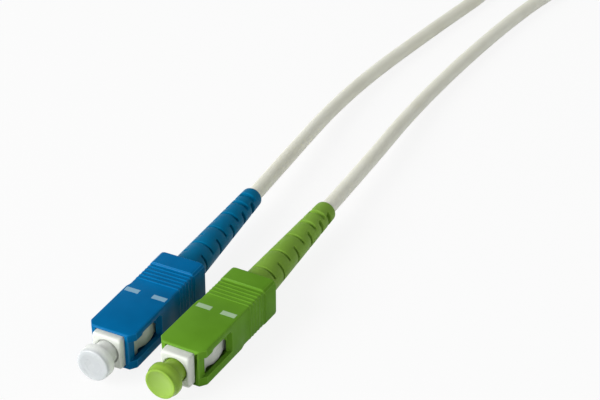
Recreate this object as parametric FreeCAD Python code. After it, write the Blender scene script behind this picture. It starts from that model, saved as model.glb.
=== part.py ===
# Simplex fibre optic patch cord: a blue and a green push-pull plug on one white cable.
# Millimetres, +Z up. The plugs lie on a flat surface at Z = 0 with their caps towards -Y.
# A plug's own frame has X along its axis, from the plug frame's front face to the cable.
import FreeCAD
import Part

import math
import os

Vector = FreeCAD.Vector
ALONG = Vector(1, 0, 0)
UP = Vector(0, 0, 1)

# How the two plugs lie
PLUG_SPACING = 13.1
PLUG_SPLAY = 0.8
PLUG_FRONT_Y = -25.6
GREEN_LAG = 1.1
GRIP_SLID_BACK = {"blue": 0.0, "green": 0.6}

# Grip housing: sections along its own length
GRIP_LONG = 25.0
GRIP_WIDE = 9.25
GRIP_TALL = 7.4
GRIP_EDGE = 0.25
GRIP_SETBACK = 1.3
NOSE_TAPER_LONG = 1.35
NOSE_TAPER_SIDE = 1.0
NOSE_BEVEL = 0.2
FRONT_LONG = 12.9
WAIST_START = 14.1
WAIST_DEEP_SIDE = 0.15
WAIST_DEEP_TOP = 0.1
WAIST_EDGE = 0.4
RIB_COUNT = 5
RIB_FIRST = 16.2
RIB_PITCH = 1.02
RIB_WIDE = 0.4
RIB_FLANK = 0.12
RIB_TALL = 0.1
BLOCK_LONG = 3.75
BLOCK_RAMP = 0.2
BLOCK_WIDE = 9.5
BLOCK_TALL = 7.9
BLOCK_EDGE = 1.15
CORNER_FLATS = 3

# Grip housing: latch channels, windows and key
CHANNEL_DEEP = 0.9
CHANNEL_LONG = 9.3
CHANNEL_RUNOUT = 0.55
CHANNEL_BELOW = 1.95
CHANNEL_ABOVE = 2.1
CHANNEL_STEP = 0.4
CHANNEL_STEP_START = 3.2
WINDOW_START = 1.95
WINDOW_BELOW = 2.9
WINDOW_REAR_ABOVE = 0.4
WINDOW_SLANT_START = 7.2
KEY_WIDE = 2.4
KEY_TALL = 0.7
KEY_START = 1.5
KEY_NOSE = 0.7

# Plug frame
FRAME_LONG = 17.5
FRAME_WIDE = 5.76
FRAME_TALL = 6.38
FRAME_EDGE = 0.5
FRAME_NOSE_ROUND = 0.55
FRAME_NOSE_SIDE = 0.25
FRAME_HEAD_LONG = 5.5
FRAME_RAIL_END = 12.0
FRAME_RAIL_WIDE = 3.8
FRAME_BAND_TALL = 4.5
FRAME_TAIL_TALL = 5.6
EAR_START = 6.0
EAR_RAMP = 1.3
EAR_LONG = 1.7
EAR_DROP = 2.3
EAR_SPAN = 6.8
SOCKET_BORE = 4.6
SOCKET_DEEP = 5.8
SOCKET_LEAD_IN = 0.2
WEB_THICK = 1.4
WEB_HOLE = 2.9
CHAMBER_BORE = 4.9

# Ferrule, flange, spring and fibre
FERRULE_DIAMETER = 2.499
FERRULE_LONG = 10.5
FERRULE_PROUD = 1.2
FERRULE_CHAMFER = 0.3
ANGLED_POLISH = 8.0
ANGLED_TIP = 1.4
ANGLED_CONE = 0.6
FLANGE_LONG = 2.2
FLANGE_BOSS = 3.1
FLANGE_BOSS_LONG = 2.0
FLANGE_KEYWAYS = 4
FLANGE_KEYWAY_WIDE = 0.8
FLANGE_KEYWAY_DEEP = 0.6
SPRING_MEAN = 3.96
SPRING_WIRE = 0.42
SPRING_TURNS = 5
BUFFER_DIAMETER = 0.9
BUFFER_LONG = 13.1

# Back body and crimp sleeve
BACK_HEAD_LONG = 2.5
COLLAR_DIAMETER = 5.5
COLLAR_LONG = 1.0
TAIL_DIAMETER = 3.2
TAIL_LONG = 6.0
BACK_BORE = 1.6
CRIMP_WALL = 0.5
CRIMP_LONG = 7.5

# Boot: a straight root in the grip, then a tapered slotted part that bends with the cable
BOOT_ROOT = 5.5
BOOT_WIDE = 6.05
BOOT_SHOULDER = 1.1
BOOT_ROOT_SINK = 0.6
BOOT_STRAIGHT = 4.0
BOOT_LONG = 31.2
BOOT_TIP = 4.15
BOOT_TIP_EDGE = 0.35
BOOT_SOCKET = 4.5
BOOT_SOCKET_LONG = 3.4
BOOT_GROW = {"blue": 1.0, "green": 1.035}
SLOT_COUNT = 10
SLOT_FIRST = 5.85
SLOT_END = 2.85
SLOT_CLOSING = 0.55
SLOT_WIDE_FIRST = 0.5
SLOT_WIDE_LAST = 1.1
SLOT_FLOOR = 1.35
SLOT_ROLL = {"blue": 100, "green": 4}

# Dust cap
CAP_FACE = 5.9
CAP_HEAD = 6.5
CAP_HEAD_LONG = 2.15
CAP_FLANGE_LONG = 1.0
CAP_FRONT_EDGE = 0.35
CAP_BACK_EDGE = 0.15
CAP_STEM = 4.4
CAP_STEM_LONG = 7.0
CAP_DISH = 2.6
CAP_DISH_DEEP = 0.1
CAP_OFF_FRAME = 2.5

# Clearances and travels
SLIDE_FIT = 0.05
FERRULE_FIT = 0.01
FLANGE_FIT = 0.09
EAR_FIT = 0.1
CRIMP_FIT = 0.05
BOOT_FIT = 0.25
SHOULDER_GAP = 0.15
GRIP_FORWARD = 0.6
GRIP_BACK = 2.0
FERRULE_TRAVEL = 1.2
CAP_TIP_GAP = 0.5

# Cable: the lead from each boot to the coil, points chosen by hand
CABLE_DIAMETER = 3.0
LEAD_POINTS = {
    "blue": [(-9.6, 41.5, 4.4), (-13.6, 79.0, 1.9), (-9.6, 117.0, 1.5), (-5.6, 144.0, 1.5),
             (-17.0, 166.0, 1.7), (-17.0, 184.0, 2.0)],
    "green": [(5.8, 43.0, 4.4), (1.9, 83.0, 1.9), (3.3, 122.0, 1.5), (7.0, 148.0, 1.6),
              (19.0, 168.0, 4.4), (19.0, 184.0, 8.1)],
}
ARC_SHARE = 0.45

# Coil of the length past the leads, and its strap
COIL_CENTRE = (1.0, 184.0)
COIL_MEAN = 33.0
COIL_ACROSS = 2
COIL_LAYERS = 3
COIL_PITCH = 3.05
COIL_EDGE = 0.9
STRAP_THICK = 0.5
STRAP_ANGLE = 20.0

# Values worked out from the sizes above
axis_height = GRIP_TALL / 2 + KEY_TALL
channel_floor = GRIP_WIDE / 2 - CHANNEL_DEEP
cavity_wide = FRAME_WIDE + 2 * SLIDE_FIT
cavity_tall = FRAME_TALL + 2 * SLIDE_FIT
rear_cavity_tall = FRAME_TAIL_TALL + 2 * SLIDE_FIT
cavity_step = FRAME_RAIL_END - GRIP_SETBACK + GRIP_FORWARD + SLIDE_FIT
cavity_end = FRAME_LONG - GRIP_SETBACK + GRIP_FORWARD + SLIDE_FIT
block_start = GRIP_LONG - BLOCK_LONG
chamber_start = SOCKET_DEEP + WEB_THICK
spring_start = chamber_start + FLANGE_LONG
back_start = FRAME_LONG - BACK_HEAD_LONG
spring_long = back_start - spring_start
collar_end = FRAME_LONG + COLLAR_LONG
jacket_start = collar_end + TAIL_LONG + CRIMP_FIT
boot_start = collar_end + CRIMP_FIT
pocket_start = jacket_start + BOOT_SHOULDER - SHOULDER_GAP - GRIP_SETBACK - GRIP_BACK


def box(start, size):
    """Box from its lowest corner."""
    return Part.makeBox(*size, Vector(*start))


def across(start, long, wide, tall):
    """Box along the plug's axis, centred on it."""
    return box((start, -wide / 2, -tall / 2), (long, wide, tall))


def rod(start, long, diameter):
    """Cylinder on the plug's axis."""
    return Part.makeCylinder(diameter / 2, long, Vector(start, 0, 0), ALONG)


def rounded_section(x, wide, tall, corner):
    """Rectangle across the plug at x, with each corner rounded by a few flats."""
    points = []
    for quarter, (right, upper) in enumerate([(1, 1), (-1, 1), (-1, -1), (1, -1)]):
        y = right * (wide / 2 - corner)
        z = upper * (tall / 2 - corner)
        for flat in range(CORNER_FLATS + 1):
            turn = math.pi / 2 * (quarter + flat / CORNER_FLATS)
            points.append(Vector(x, y + corner * math.cos(turn), z + corner * math.sin(turn)))
    return Part.makePolygon(points + points[:1])


def loft(sections):
    """Straight-sided solid through rounded sections."""
    return Part.makeLoft([rounded_section(*section) for section in sections], True, True)


def turned(profile):
    """Solid of revolution about the plug's axis from (x, radius) points."""
    points = [Vector(x, 0, radius) for x, radius in profile]
    face = Part.Face(Part.makePolygon(points + points[:1]))
    return face.revolve(Vector(0, 0, 0), ALONG, 360)


def plan_prism(outline, low, high):
    """Upright prism on an (x, y) outline."""
    points = [Vector(x, y, low) for x, y in outline]
    face = Part.Face(Part.makePolygon(points + points[:1]))
    return face.extrude(Vector(0, 0, high - low))


def side_prism(outline, near, far):
    """Prism across the plug on an (x, z) outline, from y = near to y = far."""
    points = [Vector(x, near, z) for x, z in outline]
    face = Part.Face(Part.makePolygon(points + points[:1]))
    return face.extrude(Vector(0, far - near, 0))


def both_sides(shape):
    """A shape and its mirror image across the plug's upright middle plane."""
    return [shape, shape.mirror(Vector(0, 0, 0), Vector(0, 1, 0))]


def grip_skin():
    """Outer form of the grip: tapered nose, plain front, ribbed waist and rear block."""
    nose_wide = GRIP_WIDE - 2 * NOSE_TAPER_SIDE
    bevel_wide = nose_wide + 2 * NOSE_TAPER_SIDE * NOSE_BEVEL / NOSE_TAPER_LONG
    waist = (GRIP_WIDE - 2 * WAIST_DEEP_SIDE, GRIP_TALL - 2 * WAIST_DEEP_TOP, WAIST_EDGE)
    crest = (waist[0] + 2 * RIB_TALL, waist[1] + 2 * RIB_TALL, WAIST_EDGE + 2 * RIB_TALL)
    sections = [
        (0, nose_wide, GRIP_TALL - 2 * NOSE_BEVEL, GRIP_EDGE),
        (NOSE_BEVEL, bevel_wide, GRIP_TALL, GRIP_EDGE),
        (NOSE_TAPER_LONG, GRIP_WIDE, GRIP_TALL, GRIP_EDGE),
        (FRONT_LONG, GRIP_WIDE, GRIP_TALL, GRIP_EDGE),
        (WAIST_START, *waist),
    ]
    for rib in range(RIB_COUNT):
        start = RIB_FIRST + rib * RIB_PITCH - RIB_WIDE / 2
        end = start + RIB_WIDE
        sections += [(start, *waist), (start + RIB_FLANK, *crest)]
        sections += [(end - RIB_FLANK, *crest), (end, *waist)]
    sections += [
        (block_start - BLOCK_RAMP, *waist),
        (block_start, BLOCK_WIDE, BLOCK_TALL, BLOCK_EDGE),
        (GRIP_LONG, BLOCK_WIDE, BLOCK_TALL, BLOCK_EDGE),
    ]
    return loft(sections)


def latch_channel():
    """Open channel on one side for the socket's hooks, with the window in its floor."""
    outside = BLOCK_WIDE / 2
    runout = CHANNEL_RUNOUT * (outside - channel_floor) / CHANNEL_DEEP
    outline = [(-NOSE_BEVEL, channel_floor), (CHANNEL_LONG, channel_floor),
               (CHANNEL_LONG + runout, outside), (-NOSE_BEVEL, outside)]
    channel = plan_prism(outline, -CHANNEL_BELOW, CHANNEL_ABOVE)
    top = CHANNEL_ABOVE + CHANNEL_STEP
    raised = [(CHANNEL_STEP_START, CHANNEL_ABOVE), (CHANNEL_STEP_START + CHANNEL_STEP, top),
              (CHANNEL_LONG, top), (CHANNEL_LONG, CHANNEL_ABOVE)]
    raised_roof = side_prism(raised, channel_floor, outside)
    opening = [(WINDOW_START, -WINDOW_BELOW), (CHANNEL_LONG, -WINDOW_BELOW),
               (CHANNEL_LONG, WINDOW_REAR_ABOVE), (WINDOW_SLANT_START, CHANNEL_ABOVE),
               (WINDOW_START, CHANNEL_ABOVE)]
    window = side_prism(opening, cavity_wide / 2 - SLIDE_FIT, channel_floor)
    return channel.fuse([raised_roof, window])


def grip_key():
    """Polarising rib under the grip, with a sloped nose."""
    root = -GRIP_TALL / 2
    outline = [(KEY_START, root), (KEY_START + KEY_NOSE, root - KEY_TALL), (FRONT_LONG, root - KEY_TALL),
               (WAIST_START, root), (WAIST_START, 1 + root), (KEY_START, 1 + root)]
    key = side_prism(outline, -KEY_WIDE / 2, KEY_WIDE / 2)
    return key.cut(across(0, GRIP_LONG, cavity_wide, cavity_tall))


def grip_housing(side):
    """Coloured outer shell that slides on the plug frame."""
    ear_groove_tall = FRAME_BAND_TALL + 2 * EAR_FIT
    boot_hole = BOOT_ROOT + 2 * BOOT_FIT
    hollow = across(-1, cavity_step + 1, cavity_wide, cavity_tall)
    hollow = hollow.fuse([
        across(cavity_step, cavity_end - cavity_step, cavity_wide, rear_cavity_tall),
        across(WINDOW_START, cavity_end - WINDOW_START, EAR_SPAN + 2 * EAR_FIT, ear_groove_tall),
        rod(cavity_end - SLIDE_FIT, GRIP_LONG - cavity_end + 1, boot_hole),
        rod(pocket_start, GRIP_LONG - pocket_start + 1, BOOT_WIDE * BOOT_GROW[side] + 2 * BOOT_FIT),
    ])
    skin = grip_skin().cut(both_sides(latch_channel()))
    return skin.cut(hollow).fuse(grip_key()).removeSplitter()


def frame_ear():
    """Latch ear on one side of the frame: the socket's hook snaps behind it."""
    root = FRAME_WIDE / 2
    outline = [(EAR_START, root), (EAR_START + EAR_RAMP, EAR_SPAN / 2),
               (EAR_START + EAR_RAMP + EAR_LONG, EAR_SPAN / 2),
               (EAR_START + EAR_RAMP + EAR_LONG + EAR_DROP, root)]
    return plan_prism(outline, -FRAME_BAND_TALL / 2, FRAME_BAND_TALL / 2)


def frame_head():
    """Front box of the frame, with a rounded nose."""
    sections = []
    for flat in range(CORNER_FLATS + 1):
        turn = math.pi / 2 * flat / CORNER_FLATS
        inset = 1 - math.sin(turn)
        wide = FRAME_WIDE - 2 * FRAME_NOSE_SIDE * inset
        tall = FRAME_TALL - 2 * FRAME_NOSE_ROUND * inset
        sections.append((FRAME_NOSE_ROUND * (1 - math.cos(turn)), wide, tall, FRAME_EDGE))
    return loft(sections + [(FRAME_HEAD_LONG, FRAME_WIDE, FRAME_TALL, FRAME_EDGE)])


def plug_frame():
    """Inner body: head with the ferrule socket, rails with latch ears, and a tail for the back body."""
    rail_long = FRAME_RAIL_END - FRAME_HEAD_LONG
    band_long = FRAME_LONG - FRAME_HEAD_LONG
    body = frame_head().fuse([
        across(FRAME_HEAD_LONG, rail_long, FRAME_RAIL_WIDE, FRAME_TALL),
        across(FRAME_HEAD_LONG, band_long, FRAME_WIDE, FRAME_BAND_TALL),
        across(FRAME_RAIL_END, FRAME_LONG - FRAME_RAIL_END, FRAME_WIDE, FRAME_TAIL_TALL),
        *both_sides(frame_ear()),
    ])
    radius = SOCKET_BORE / 2
    mouth = turned([(-1, 0), (-1, radius + SOCKET_LEAD_IN), (0, radius + SOCKET_LEAD_IN),
                    (SOCKET_LEAD_IN, radius), (SOCKET_DEEP, radius), (SOCKET_DEEP, 0)])
    bores = [mouth, rod(SOCKET_DEEP - 1, WEB_THICK + 2, WEB_HOLE),
             rod(chamber_start, FRAME_LONG - chamber_start + 1, CHAMBER_BORE)]
    return body.cut(bores).removeSplitter()


def straight_ferrule():
    """Ceramic pin with a chamfered straight end."""
    radius = FERRULE_DIAMETER / 2
    tip = -FERRULE_PROUD
    return turned([(tip, 0), (tip, radius - FERRULE_CHAMFER), (tip + FERRULE_CHAMFER, radius),
                   (tip + FERRULE_LONG, radius), (tip + FERRULE_LONG, 0)])


def angled_ferrule():
    """Ceramic pin with a coned end that is polished at an angle."""
    radius = FERRULE_DIAMETER / 2
    tip = -FERRULE_PROUD
    pin = turned([(tip - ANGLED_CONE, 0), (tip - ANGLED_CONE, ANGLED_TIP / 2), (tip, ANGLED_TIP / 2),
                  (tip + ANGLED_CONE, radius), (tip + FERRULE_LONG, radius), (tip + FERRULE_LONG, 0)])
    waste = across(tip - FERRULE_LONG, FERRULE_LONG, FERRULE_LONG, FERRULE_LONG)
    waste.rotate(Vector(tip, 0, 0), Vector(0, 1, 0), ANGLED_POLISH)
    return pin.cut(waste)


def ferrule_flange():
    """Metal collar behind the ferrule, with keyways and a boss that centres the spring."""
    ferrule_end = FERRULE_LONG - FERRULE_PROUD
    outer = CHAMBER_BORE / 2 - FLANGE_FIT
    boss_end = spring_start + FLANGE_BOSS_LONG
    collar = turned([(chamber_start, 0), (chamber_start, outer), (spring_start, outer),
                     (spring_start, FLANGE_BOSS / 2), (boss_end, FLANGE_BOSS / 2), (boss_end, 0)])
    keyway = box((chamber_start, outer - FLANGE_KEYWAY_DEEP, -FLANGE_KEYWAY_WIDE / 2),
                 (FLANGE_LONG, FLANGE_KEYWAY_DEEP + 1, FLANGE_KEYWAY_WIDE))
    cuts = [rod(chamber_start, ferrule_end - chamber_start, FERRULE_DIAMETER),
            rod(ferrule_end, boss_end - ferrule_end, BUFFER_DIAMETER)]
    for index in range(FLANGE_KEYWAYS):
        turn = keyway.copy()
        turn.rotate(Vector(0, 0, 0), ALONG, index * 360 / FLANGE_KEYWAYS)
        cuts.append(turn)
    return collar.cut(cuts)


def spring():
    """Compression coil between the flange and the back body."""
    wire_radius = SPRING_WIRE / 2
    height = spring_long - SPRING_WIRE
    helix = Part.makeHelix(height / SPRING_TURNS, height, SPRING_MEAN / 2)
    corners = [Vector(SPRING_MEAN / 2 + wire_radius * math.cos(step * math.pi / 3), 0,
                      wire_radius * math.sin(step * math.pi / 3)) for step in range(6)]
    section = Part.makePolygon(corners + corners[:1])
    coil = Part.Wire(helix.Edges).makePipeShell([section], True, True)
    coil.rotate(Vector(0, 0, 0), Vector(0, 1, 0), 90)
    coil.translate(Vector(spring_start + wire_radius, 0, 0))
    return coil


def fibre_buffer():
    """Coated fibre from the ferrule's back towards the cable."""
    return rod(FERRULE_LONG - FERRULE_PROUD, BUFFER_LONG, BUFFER_DIAMETER)


def back_body():
    """Turned stop: a head in the frame's chamber, a collar behind it and the crimp tail."""
    bore = BACK_BORE / 2
    head = CHAMBER_BORE / 2
    tail_end = collar_end + TAIL_LONG
    collar = COLLAR_DIAMETER / 2
    tail = TAIL_DIAMETER / 2
    return turned([(back_start, bore), (back_start, head), (FRAME_LONG, head), (FRAME_LONG, collar),
                   (collar_end, collar), (collar_end, tail), (tail_end, tail), (tail_end, bore)])


def crimp_sleeve():
    """Metal tube round the tail and the first stretch of the jacket."""
    inner = max(TAIL_DIAMETER, CABLE_DIAMETER) + 2 * CRIMP_FIT
    tube = rod(boot_start, CRIMP_LONG, inner + 2 * CRIMP_WALL)
    return tube.cut(rod(boot_start - 1, CRIMP_LONG + 2, inner))


def slot_places(long):
    """(distance along the boot, width) of each slot: closer and wider towards the tip."""
    steps = [1 - SLOT_CLOSING * (index / (SLOT_COUNT - 2)) ** 2 for index in range(SLOT_COUNT - 1)]
    pitch = (long - SLOT_END - SLOT_FIRST) / sum(steps)
    places = []
    for index in range(SLOT_COUNT):
        share = index / (SLOT_COUNT - 1)
        place = SLOT_FIRST + pitch * sum(steps[:index])
        places.append((place, SLOT_WIDE_FIRST + share ** 2 * (SLOT_WIDE_LAST - SLOT_WIDE_FIRST)))
    return places


def boot(side, bend):
    """Strain relief: straight root, then a bent taper with slots a quarter turn apart."""
    root = rod(boot_start, jacket_start - boot_start + BOOT_SHOULDER + BOOT_ROOT_SINK, BOOT_ROOT)
    long = BOOT_LONG * BOOT_GROW[side]
    wide = BOOT_WIDE * BOOT_GROW[side] / 2
    tip = BOOT_TIP * BOOT_GROW[side] / 2
    taper = turned([(BOOT_SHOULDER, 0), (BOOT_SHOULDER, wide), (BOOT_STRAIGHT, wide),
                    (long - BOOT_TIP_EDGE, tip), (long, tip - BOOT_TIP_EDGE), (long, 0)])
    cuts = [rod(0, long + 1, CABLE_DIAMETER)]
    for index, (place, slot_wide) in enumerate(slot_places(long)):
        for opposite in (0, 180):
            slot = box((place - slot_wide / 2, -2 * wide, SLOT_FLOOR), (slot_wide, 4 * wide, 2 * wide))
            slot.rotate(Vector(0, 0, 0), ALONG, SLOT_ROLL[side] + 90 * (index % 2) + opposite)
            cuts.append(slot)
    taper = taper.cut(cuts)
    taper.rotate(Vector(0, 0, 0), UP, bend)
    taper.translate(Vector(jacket_start, 0, 0))
    socket = rod(boot_start - 1, jacket_start + BOOT_SOCKET_LONG - boot_start + 1, BOOT_SOCKET)
    return root.fuse(taper).cut(socket)


def dust_cap():
    """Cap with a round head, flanged at its back, and a hollow stem that fits the ferrule."""
    back = -CAP_OFF_FRAME
    front = back - CAP_HEAD_LONG
    end = back + CAP_STEM_LONG
    face = CAP_FACE / 2
    head = CAP_HEAD / 2
    stem = CAP_STEM / 2
    flange = back - CAP_FLANGE_LONG
    hole = FERRULE_DIAMETER / 2 + FERRULE_FIT
    hole_end = -FERRULE_PROUD - CAP_TIP_GAP
    dish = CAP_DISH / 2
    dish_floor = front + CAP_DISH_DEEP
    return turned([
        (dish_floor, 0), (dish_floor, dish - CAP_DISH_DEEP), (front, dish),
        (front, face - CAP_FRONT_EDGE), (front + CAP_FRONT_EDGE, face),
        (flange - (head - face), face), (flange, head),
        (back - CAP_BACK_EDGE, head), (back, head - CAP_BACK_EDGE),
        (back, stem), (end, stem), (end, hole), (hole_end, hole), (hole_end, 0),
    ])


def rounded_path(points):
    """Straight runs joined by arcs as large as the runs allow."""
    edges = []
    start = points[0]
    for before, corner, after in zip(points, points[1:], points[2:]):
        arrive = corner.sub(before)
        leave = after.sub(corner)
        turn = arrive.getAngle(leave)
        reach = ARC_SHARE * min(arrive.Length, leave.Length)
        radius = reach / math.tan(turn / 2)
        print("  turn %.1f degrees, radius %.1f" % (math.degrees(turn), radius))
        first = corner.sub(arrive.normalize().multiply(reach))
        last = corner.add(leave.normalize().multiply(reach))
        to_middle = first.add(last).multiply(0.5).sub(corner)
        gap = radius / math.cos(turn / 2) - radius
        middle = corner.add(to_middle.normalize().multiply(gap))
        edges.append(Part.LineSegment(start, first).toShape())
        edges.append(Part.Arc(first, middle, last).toShape())
        start = last
    edges.append(Part.LineSegment(start, points[-1]).toShape())
    return Part.Wire(edges)


def lead(points):
    """Cable jacket along one lead."""
    path = rounded_path(points)
    circle = Part.makeCircle(CABLE_DIAMETER / 2, points[0], points[1].sub(points[0]))
    tube = path.makePipeShell([Part.Wire(circle)], True, False)
    expected = math.pi * CABLE_DIAMETER ** 2 / 4 * path.Length
    print("  length %.1f, volume %.1f of %.1f" % (path.Length, tube.Volume, expected))
    return tube


def coil_ring(grow, angle):
    """Ring of the coil's outer shape, grown all round by some thickness, over an angle."""
    half = COIL_ACROSS * COIL_PITCH / 2 + grow
    low = STRAP_THICK - grow
    high = STRAP_THICK + COIL_LAYERS * COIL_PITCH + grow
    inner = COIL_MEAN / 2 - half
    outer = COIL_MEAN / 2 + half
    edge = COIL_EDGE + grow * (2 - math.sqrt(2))
    corners = [(inner + edge, low), (outer - edge, low), (outer, low + edge), (outer, high - edge),
               (outer - edge, high), (inner + edge, high), (inner, high - edge), (inner, low + edge)]
    points = [Vector(radius, 0, z) for radius, z in corners]
    section = Part.Face(Part.makePolygon(points + points[:1]))
    ring = section.revolve(Vector(0, 0, 0), UP, angle)
    ring.rotate(Vector(0, 0, 0), UP, 90 - angle / 2)
    ring.translate(Vector(*COIL_CENTRE, 0))
    return ring


def plug_pose(side):
    """Where one plug lies: its front's place and the heading of its axis in degrees."""
    sign = {"blue": -1, "green": 1}[side]
    place = Vector(sign * PLUG_SPACING / 2, PLUG_FRONT_Y + sign * GREEN_LAG / 2, axis_height)
    return place, 90 - sign * PLUG_SPLAY


def plug_pieces(side):
    """Named solids of one plug, placed where it lies, and the route of its lead."""
    place, heading = plug_pose(side)
    axis = Vector(math.cos(math.radians(heading)), math.sin(math.radians(heading)), 0)
    cable_start = place.add(axis.multiply(jacket_start))
    route = [cable_start] + [Vector(*point) for point in LEAD_POINTS[side]]
    aim = route[1].sub(cable_start)
    bend = math.degrees(math.atan2(aim.y, aim.x)) - heading
    grip = grip_housing(side)
    grip.translate(Vector(GRIP_SETBACK + GRIP_SLID_BACK[side], 0, 0))
    pieces = {
        "dust_cap": dust_cap(),
        "grip_housing": grip,
        "plug_frame": plug_frame(),
        "ferrule": straight_ferrule() if side == "blue" else angled_ferrule(),
        "ferrule_flange": ferrule_flange(),
        "spring": spring(),
        "fibre_buffer": fibre_buffer(),
        "back_body": back_body(),
        "crimp_sleeve": crimp_sleeve(),
        "boot": boot(side, bend),
    }
    pose = FreeCAD.Placement(place, FreeCAD.Rotation(UP, heading))
    for shape in pieces.values():
        shape.Placement = pose.multiply(shape.Placement)
    return pieces, route


def main():
    os.makedirs("parts", exist_ok=True)
    nodes = {}
    for side in ("blue", "green"):
        pieces, route = plug_pieces(side)
        for name, shape in pieces.items():
            nodes[side + "_" + name] = shape
        print(side + " lead")
        nodes["cable_lead_" + side] = lead(route)
    coil = coil_ring(0, 360)
    nodes["cable_coil"] = coil
    nodes["coil_strap"] = coil_ring(STRAP_THICK, STRAP_ANGLE).cut(coil)
    for name, shape in nodes.items():
        shape.exportStep("parts/" + name + ".step")
        print("%-22s solids %d  volume %.2f" % (name, len(shape.Solids), shape.Volume))


main()
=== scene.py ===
"""Looks of a simplex fibre optic patch cord with a blue and a green push-pull plug."""
from __future__ import annotations

import logging
import math
from dataclasses import dataclass
from enum import Enum

import bmesh
import bpy
import numpy as np
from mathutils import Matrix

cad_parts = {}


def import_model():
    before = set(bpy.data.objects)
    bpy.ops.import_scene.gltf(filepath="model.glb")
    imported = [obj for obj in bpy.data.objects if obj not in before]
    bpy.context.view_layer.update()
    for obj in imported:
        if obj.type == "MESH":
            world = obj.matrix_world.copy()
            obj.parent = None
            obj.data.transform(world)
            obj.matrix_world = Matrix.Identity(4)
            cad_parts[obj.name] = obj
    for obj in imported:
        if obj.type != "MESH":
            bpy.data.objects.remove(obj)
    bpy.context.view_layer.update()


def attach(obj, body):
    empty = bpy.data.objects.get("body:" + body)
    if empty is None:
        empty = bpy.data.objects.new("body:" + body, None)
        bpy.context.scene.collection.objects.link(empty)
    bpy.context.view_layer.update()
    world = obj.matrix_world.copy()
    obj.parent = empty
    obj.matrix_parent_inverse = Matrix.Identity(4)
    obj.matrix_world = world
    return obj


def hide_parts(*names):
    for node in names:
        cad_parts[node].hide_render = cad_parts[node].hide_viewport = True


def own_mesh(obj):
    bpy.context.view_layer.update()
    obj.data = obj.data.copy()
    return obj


LOG = logging.getLogger("patch_cord")
MM = 0.001
CORD_BODY = "cord"
# Least value of a divisor, so that no division is by zero.
TINY = 1e-9
# Points nearer than this are merged, in metres: those of a grid, and those of a CAD node's triangles.
GRID_MERGE = 1e-8
CAD_MERGE = 2e-6
# Edges of a grid that turn by more than this stay sharp, in degrees.
GRID_SHARP_DEG = 40.0
# Rounding of moulded edges: what counts as flat, as an edge and as sharp after it, in degrees.
FLAT_DEG = 1.0
EDGE_DEG = 22.0
MOULDED_SHARP_DEG = 32.0
# Rounding of moulded edges: share of the narrower face beside an edge, and faces round it.
EDGE_SHARE = 0.2
EDGE_FACES = 2
# Middle of the tied coil and mean radius of its turns, in millimetres.
COIL_CENTRE = (1.0, 184.0)
COIL_RADIUS = 16.5
# Mesh attribute that says how much paler colour is painted at a point, a painted light, from 0 to 1.
PAINTED_LIGHT_ATTRIBUTE = "painted_light_share"
# A noise texture's values lie mostly in this range, which is spread to the full one.
NOISE_RANGE = {"From Min": 0.3, "From Max": 0.7}
# Sockets of a Mix node for colours: its share, its two colours and its result.
MIX_SHARE, MIX_FROM, MIX_TO, MIX_RESULT = 0, 6, 7, 2


class Side(Enum):
    """The two ends of the cord."""

    BLUE = "blue"
    GREEN = "green"


def srgb(code: str) -> tuple[float, float, float, float]:
    """Turns an sRGB hex code into a linear colour.

    Args:
        code: Six hex digits with a leading hash.

    Returns:
        Linear red, green, blue and an alpha of one.
    """
    parts = [int(code[i:i + 2], 16) / 255 for i in (1, 3, 5)]
    linear = [c / 12.92 if c <= 0.04045 else ((c + 0.055) / 1.055) ** 2.4 for c in parts]
    return (*linear, 1.0)


def ease(share: np.ndarray) -> np.ndarray:
    """Eases shares from 0 to 1: three times the square less twice the cube."""
    return share * share * (3 - 2 * share)


def signed_power(value: np.ndarray, power: float) -> np.ndarray:
    """Raises the size of values to a power and keeps their signs."""
    return np.sign(value) * np.abs(value) ** power


def add_node(tree: bpy.types.NodeTree, kind: str, inputs: dict[str | int, object] | None = None,
             **settings: object) -> bpy.types.Node:
    """Adds a shader node, sets its properties and fills or links its inputs.

    Args:
        tree: Node tree that gets the node.
        kind: Node type without the ShaderNode prefix.
        inputs: Input name or index to a value, or to an output socket to link.
        settings: Node properties.

    Returns:
        The new node.
    """
    node = tree.nodes.new("ShaderNode" + kind)
    for key, value in settings.items():
        setattr(node, key, value)
    for key, value in (inputs or {}).items():
        if isinstance(value, bpy.types.NodeSocket):
            tree.links.new(value, node.inputs[key])
        else:
            node.inputs[key].default_value = value
    return node


def new_material(name: str) -> tuple[bpy.types.Material, bpy.types.NodeTree]:
    """Makes a node material with an empty tree.

    Args:
        name: Name of the material.

    Returns:
        The material and its node tree.
    """
    material = bpy.data.materials.new(name)
    material.use_nodes = True
    material.node_tree.nodes.clear()
    return material, material.node_tree


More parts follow.
